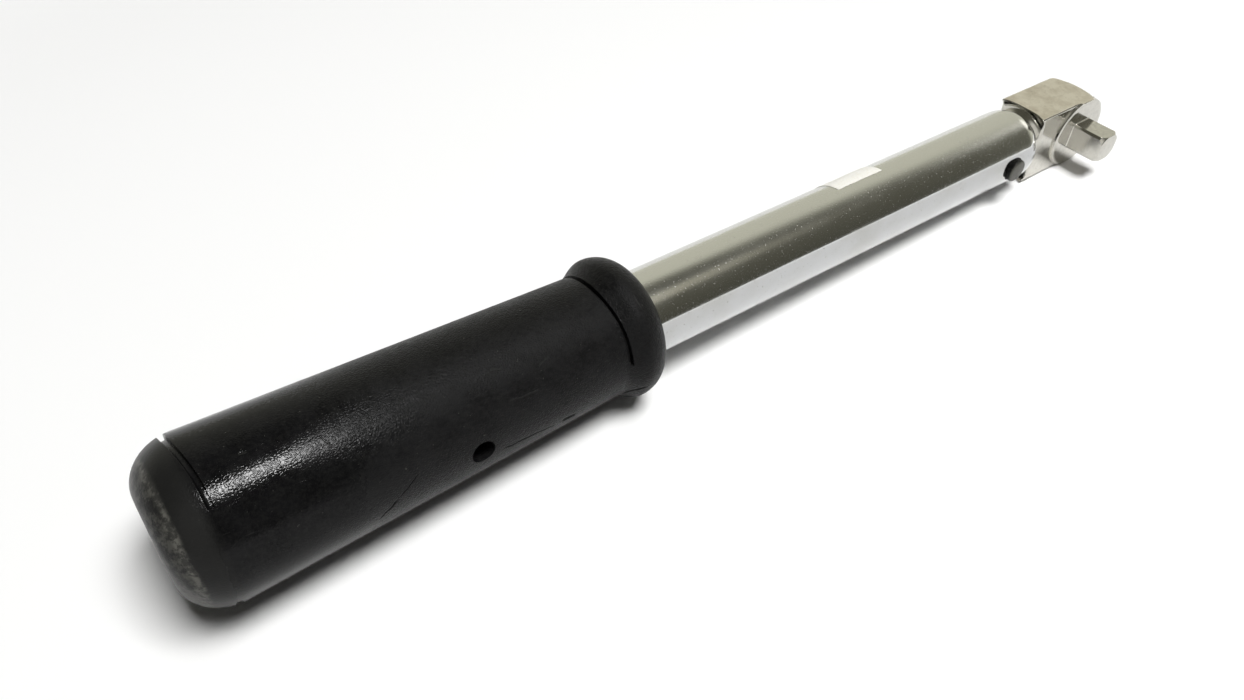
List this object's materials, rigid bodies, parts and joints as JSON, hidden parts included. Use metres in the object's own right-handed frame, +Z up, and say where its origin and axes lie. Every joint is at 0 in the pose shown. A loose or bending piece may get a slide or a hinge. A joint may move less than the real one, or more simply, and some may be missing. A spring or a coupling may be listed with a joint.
{
  "type": "torque wrench",
  "caption": "Preset click torque wrench: chrome tube with a pivoting square drive head, moulded black grip, and a spring, plunger and tilting block inside.",
  "frame": {"origin": "bottom centre of the bounding box, half a millimetre beside the tube axis", "axes": "+X along the tube towards the head, +Z up, square drive pointing to -Y"},
  "size_m": [0.3412, 0.0434, 0.042],
  "materials": {
    "chrome_plate": "bright chrome plate, lightly worn",
    "chrome_forging": "satin chrome plate over a forging",
    "black_oxide_steel": "black oxide",
    "hardened_steel": "ground and hardened",
    "spring_steel": "oiled spring wire",
    "brass": "turned",
    "black_vinyl": "moulded, fine grain, satin",
    "black_plastic": "moulded"
  },
  "bodies": {
    "handle": {"tube": "chrome_plate", "grip": "black_vinyl", "pivot_pin": "black_oxide_steel", "screw_bush": "hardened_steel", "retaining_ring": "spring_steel", "still_race": "hardened_steel"},
    "head": {"drive_head": "chrome_forging", "detent_spring": "spring_steel"},
    "detent": {"detent_ball": "hardened_steel"},
    "plunger": {"plunger": "hardened_steel", "front_spring_washer": "hardened_steel", "torque_spring": "spring_steel"},
    "tilt_block": {"tilt_block": "hardened_steel"},
    "nut": {"load_nut": "brass", "nut_key": "hardened_steel", "rear_spring_washer": "hardened_steel"},
    "screw": {"load_screw": "hardened_steel", "screw_clip": "spring_steel", "turning_race": "hardened_steel"},
    "bearing": {"ball_cage": "brass", "bearing_ball_1": "hardened_steel", "bearing_ball_2": "hardened_steel", "bearing_ball_3": "hardened_steel", "bearing_ball_4": "hardened_steel", "bearing_ball_5": "hardened_steel", "bearing_ball_6": "hardened_steel", "bearing_ball_7": "hardened_steel", "bearing_ball_8": "hardened_steel"},
    "lock": {"lock_screw": "black_oxide_steel"},
    "plug": {"end_plug": "black_plastic"}
  },
  "joints": [
    {"name": "head_pivot", "type": "hinge", "parent": "handle", "child": "head", "pos_m": [0.11668, 0.00065, 0.02101], "axis": [0, 1, 0], "range_deg": [0, 2.5], "stiffness_Nm_per_rad": 30, "springref_deg": -2.86},
    {"name": "plunger_slide", "type": "slide", "parent": "handle", "child": "plunger", "axis": [-1, 0, 0], "range_m": [0, 0.0023], "deforming": ["torque_spring"]},
    {"name": "block_tilt", "type": "hinge", "parent": "plunger", "child": "tilt_block", "pos_m": [0.04838, 0.00065, 0.02501], "axis": [0, 1, 0], "range_deg": [-17, 0]},
    {"name": "detent_press", "type": "slide", "parent": "head", "child": "detent", "axis": [1, 0, 0], "range_m": [-0.0008, 0], "stiffness_N_per_m": 1000, "springref_m": 0.001, "deforming": ["detent_spring"]},
    {"name": "screw_turn", "type": "hinge", "parent": "handle", "child": "screw", "pos_m": [-0.07312, 0.00065, 0.02101], "axis": [1, 0, 0], "range_deg": [-1441, 1441]},
    {"name": "nut_travel", "type": "slide", "parent": "handle", "child": "nut", "axis": [1, 0, 0], "range_m": [-0.005, 0.005], "deforming": ["torque_spring"]},
    {"name": "bearing_roll", "type": "hinge", "parent": "handle", "child": "bearing", "pos_m": [-0.07648, 0.00065, 0.02101], "axis": [1, 0, 0], "range_deg": [-721, 721]},
    {"name": "lock_turn", "type": "hinge", "parent": "handle", "child": "lock", "pos_m": [-0.09763, -0.00735, 0.02101], "axis": [0, -1, 0], "range_deg": [-180, 0]},
    {"name": "plug_pull", "type": "slide", "parent": "handle", "child": "plug", "axis": [-1, 0, 0], "range_m": [0, 0.014]}
  ],
  "couplings": [
    {"joint": "plunger_slide", "follows": "head_pivot", "m_per_rad": 0.0504},
    {"joint": "block_tilt", "follows": "head_pivot", "ratio": -6.64},
    {"joint": "screw_turn", "follows": "nut_travel", "rad_per_m": 5026.5},
    {"joint": "bearing_roll", "follows": "nut_travel", "rad_per_m": 2513.3}
  ]
}
